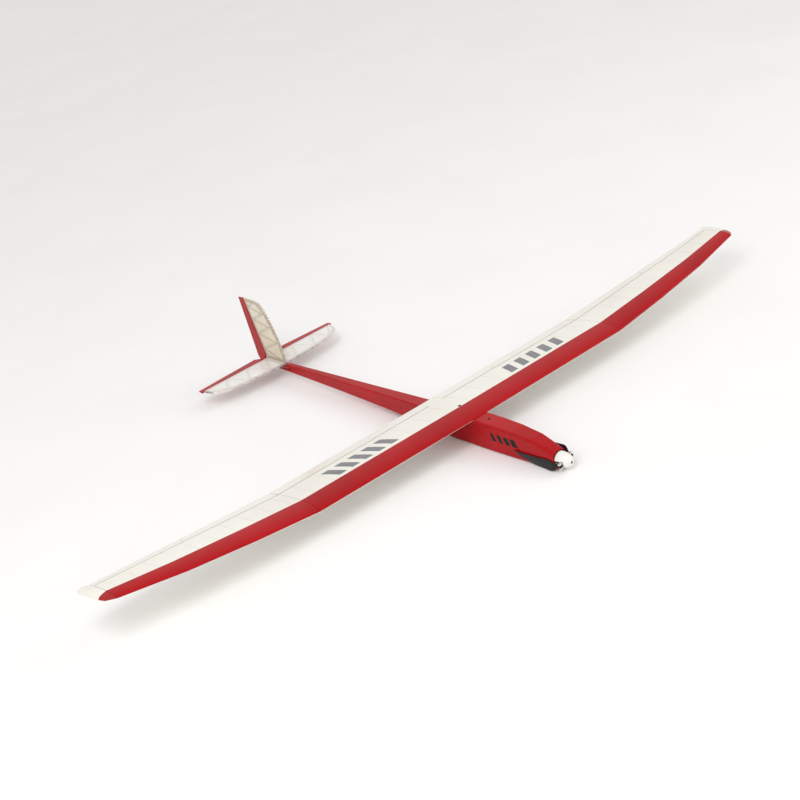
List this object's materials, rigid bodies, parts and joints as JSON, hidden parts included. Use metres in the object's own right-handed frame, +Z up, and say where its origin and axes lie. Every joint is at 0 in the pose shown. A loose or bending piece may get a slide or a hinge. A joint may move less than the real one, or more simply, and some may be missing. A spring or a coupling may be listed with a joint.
{
  "type": "radio control electric glider",
  "caption": "Electric model glider: polyhedral film-covered wing with flaps and ailerons, slim box fuselage, fin and low tailplane, folding propeller on a white spinner.",
  "frame": {"origin": "centre of the bounding box at the belly's level", "axes": "+X to port, along the wing; +Y aft, so the nose points to -Y; +Z up"},
  "size_m": [2.042, 1.2086, 0.2125],
  "materials": {
    "white_film": "gloss",
    "red_covered_wood": "gloss",
    "white_covered_wood": "gloss",
    "balsa": "matte",
    "spruce": "matte",
    "plywood": "matte",
    "carbon": "satin",
    "steel": "satin",
    "nylon": "satin",
    "spinner_white": "gloss",
    "blade_black": "satin",
    "black_plastic": "satin",
    "motor_metal": "satin",
    "cell_wrap": "satin",
    "circuit_wrap": "gloss",
    "heat_sink": "satin",
    "tube_plastic": "satin"
  },
  "bodies": {
    "airframe": {"battery": "cell_wrap", "centre_film": "white_film", "centre_leading_skin": "red_covered_wood", "centre_ribs": "balsa", "centre_spars": "spruce", "centre_trailing_edge": "white_covered_wood", "fin_frame": "balsa", "fuselage_bottom": "red_covered_wood", "fuselage_formers": "plywood", "fuselage_side_port": "red_covered_wood", "fuselage_side_starboard": "red_covered_wood", "fuselage_top_deck": "red_covered_wood", "motor": "motor_metal", "outer_film_port": "white_film", "outer_film_starboard": "white_film", "outer_leading_skin_port": "red_covered_wood", "outer_leading_skin_starboard": "red_covered_wood", "outer_ribs": "balsa", "outer_spars": "spruce", "pushrod_tubes": "tube_plastic", "receiver": "circuit_wrap", "speed_controller": "heat_sink", "stabiliser_frame": "balsa", "tail_servos": "black_plastic", "wing_bolt": "nylon", "wing_joiners": "carbon", "wing_servos": "black_plastic", "wing_tips": "white_covered_wood"},
    "propeller_hub": {"spinner": "spinner_white", "prop_yoke": "nylon", "blade_screws": "steel", "motor_shaft": "steel"},
    "blade_port": {"blade_port": "blade_black"},
    "blade_starboard": {"blade_starboard": "blade_black"},
    "hatch": {"hatch": "red_covered_wood", "hatch_screw": "steel"},
    "flap_port": {"flap_port": "white_covered_wood", "flap_horn_port": "nylon"},
    "flap_arm_port": {"flap_arm_port": "nylon"},
    "flap_rod_port": {"flap_rod_port": "steel"},
    "flap_starboard": {"flap_starboard": "white_covered_wood", "flap_horn_starboard": "nylon"},
    "flap_arm_starboard": {"flap_arm_starboard": "nylon"},
    "flap_rod_starboard": {"flap_rod_starboard": "steel"},
    "aileron_port": {"aileron_port": "white_covered_wood", "aileron_horn_port": "nylon"},
    "aileron_arm_port": {"aileron_arm_port": "nylon"},
    "aileron_rod_port": {"aileron_rod_port": "steel"},
    "aileron_starboard": {"aileron_starboard": "white_covered_wood", "aileron_horn_starboard": "nylon"},
    "aileron_arm_starboard": {"aileron_arm_starboard": "nylon"},
    "aileron_rod_starboard": {"aileron_rod_starboard": "steel"},
    "rudder": {"rudder": "red_covered_wood", "rudder_horn": "black_plastic"},
    "rudder_rod": {"rudder_rod": "steel"},
    "rudder_arm": {"rudder_arm": "nylon"},
    "elevator": {"elevator": "red_covered_wood", "elevator_horn": "nylon"},
    "elevator_rod": {"elevator_rod": "steel"},
    "elevator_arm": {"elevator_arm": "nylon"}
  },
  "joints": [
    {"name": "propeller_turn", "type": "hinge", "parent": "airframe", "child": "propeller_hub", "pos_m": [0, -0.5843, 0.0225], "axis": [0, 1, 0], "range_deg": [-3, 3]},
    {"name": "blade_fold_port", "type": "hinge", "parent": "propeller_hub", "child": "blade_port", "pos_m": [0.01865, -0.5843, 0.0282], "axis": [0.2924, 0, -0.9563], "range_deg": [0, 90]},
    {"name": "blade_fold_starboard", "type": "hinge", "parent": "propeller_hub", "child": "blade_starboard", "pos_m": [-0.01865, -0.5843, 0.0168], "axis": [-0.2924, 0, 0.9563], "range_deg": [0, 90]},
    {"name": "hatch_lift", "type": "slide", "parent": "airframe", "child": "hatch", "axis": [0, 0, 1], "range_m": [0, 0.06]},
    {"name": "flap_hinge_port", "type": "hinge", "parent": "airframe", "child": "flap_port", "pos_m": [0.203, -0.15564, 0.06943], "axis": [-1, -0.0012, -0.0002], "range_deg": [-5, 35]},
    {"name": "flap_arm_turn_port", "type": "hinge", "parent": "airframe", "child": "flap_arm_port", "pos_m": [0.20305, -0.19864, 0.06943], "axis": [-1, -0.0012, -0.0002], "range_deg": [-5, 35]},
    {"name": "flap_rod_pivot_port", "type": "hinge", "parent": "flap_arm_port", "child": "flap_rod_port", "pos_m": [0.20306, -0.19864, 0.05243], "axis": [-1, -0.0012, -0.0002], "range_deg": [-35, 5]},
    {"name": "flap_hinge_starboard", "type": "hinge", "parent": "airframe", "child": "flap_starboard", "pos_m": [-0.203, -0.15564, 0.06943], "axis": [-1, 0.0012, 0.0002], "range_deg": [-5, 35]},
    {"name": "flap_arm_turn_starboard", "type": "hinge", "parent": "airframe", "child": "flap_arm_starboard", "pos_m": [-0.20305, -0.19864, 0.06943], "axis": [-1, 0.0012, 0.0002], "range_deg": [-5, 35]},
    {"name": "flap_rod_pivot_starboard", "type": "hinge", "parent": "flap_arm_starboard", "child": "flap_rod_starboard", "pos_m": [-0.20306, -0.19864, 0.05243], "axis": [-1, 0.0012, 0.0002], "range_deg": [-35, 5]},
    {"name": "aileron_hinge_port", "type": "hinge", "parent": "airframe", "child": "aileron_port", "pos_m": [0.75, -0.16105, 0.09181], "axis": [-0.9961, 0.0221, -0.0855], "range_deg": [-22, 22]},
    {"name": "aileron_arm_turn_port", "type": "hinge", "parent": "airframe", "child": "aileron_arm_port", "pos_m": [0.74906, -0.20404, 0.09173], "axis": [-0.9961, 0.0221, -0.0855], "range_deg": [-22, 22]},
    {"name": "aileron_rod_pivot_port", "type": "hinge", "parent": "aileron_arm_port", "child": "aileron_rod_port", "pos_m": [0.75051, -0.20404, 0.07479], "axis": [-0.9961, 0.0221, -0.0855], "range_deg": [-22, 22]},
    {"name": "aileron_hinge_starboard", "type": "hinge", "parent": "airframe", "child": "aileron_starboard", "pos_m": [-0.75, -0.16105, 0.09181], "axis": [-0.9961, -0.0221, 0.0855], "range_deg": [-22, 22]},
    {"name": "aileron_arm_turn_starboard", "type": "hinge", "parent": "airframe", "child": "aileron_arm_starboard", "pos_m": [-0.74906, -0.20404, 0.09173], "axis": [-0.9961, -0.0221, 0.0855], "range_deg": [-22, 22]},
    {"name": "aileron_rod_pivot_starboard", "type": "hinge", "parent": "aileron_arm_starboard", "child": "aileron_rod_starboard", "pos_m": [-0.75051, -0.20404, 0.07479], "axis": [-0.9961, -0.0221, 0.0855], "range_deg": [-22, 22]},
    {"name": "rudder_hinge", "type": "hinge", "parent": "airframe", "child": "rudder", "pos_m": [0, 0.5357, 0.0435], "axis": [0, 0.2466, 0.9691], "range_deg": [-28, 28]},
    {"name": "rudder_rod_slide", "type": "slide", "parent": "airframe", "child": "rudder_rod", "axis": [-0.0387, 0.9988, -0.0297], "range_m": [-0.0065, 0.0065]},
    {"name": "rudder_arm_turn", "type": "hinge", "parent": "airframe", "child": "rudder_arm", "pos_m": [-0.0068, -0.2303, 0.0459], "axis": [0, 0, 1], "range_deg": [-39, 39]},
    {"name": "elevator_hinge", "type": "hinge", "parent": "airframe", "child": "elevator", "pos_m": [0, 0.5357, 0.0425], "axis": [1, 0, 0], "range_deg": [-20, 20]},
    {"name": "elevator_rod_slide", "type": "slide", "parent": "airframe", "child": "elevator_rod", "axis": [0.0578, 0.9979, -0.0297], "range_m": [-0.0047, 0.0047]},
    {"name": "elevator_arm_turn", "type": "hinge", "parent": "airframe", "child": "elevator_arm", "pos_m": [0.0068, -0.2303, 0.0459], "axis": [0, 0, 1], "range_deg": [-28, 28]}
  ],
  "couplings": [
    {"joint": "flap_arm_turn_port", "follows": "flap_hinge_port", "ratio": 1},
    {"joint": "flap_rod_pivot_port", "follows": "flap_hinge_port", "ratio": -1},
    {"joint": "flap_hinge_starboard", "follows": "flap_hinge_port", "ratio": 1},
    {"joint": "flap_arm_turn_starboard", "follows": "flap_hinge_port", "ratio": 1},
    {"joint": "flap_rod_pivot_starboard", "follows": "flap_hinge_port", "ratio": -1},
    {"joint": "aileron_arm_turn_port", "follows": "aileron_hinge_port", "ratio": 1},
    {"joint": "aileron_rod_pivot_port", "follows": "aileron_hinge_port", "ratio": -1},
    {"joint": "aileron_hinge_starboard", "follows": "aileron_hinge_port", "ratio": -1},
    {"joint": "aileron_arm_turn_starboard", "follows": "aileron_hinge_port", "ratio": -1},
    {"joint": "aileron_rod_pivot_starboard", "follows": "aileron_hinge_port", "ratio": 1},
    {"joint": "rudder_rod_slide", "follows": "rudder_hinge", "m_per_rad": -0.013},
    {"joint": "rudder_arm_turn", "follows": "rudder_hinge", "ratio": 1.3684},
    {"joint": "elevator_rod_slide", "follows": "elevator_hinge", "m_per_rad": 0.013},
    {"joint": "elevator_arm_turn", "follows": "elevator_hinge", "ratio": 1.3684}
  ]
}
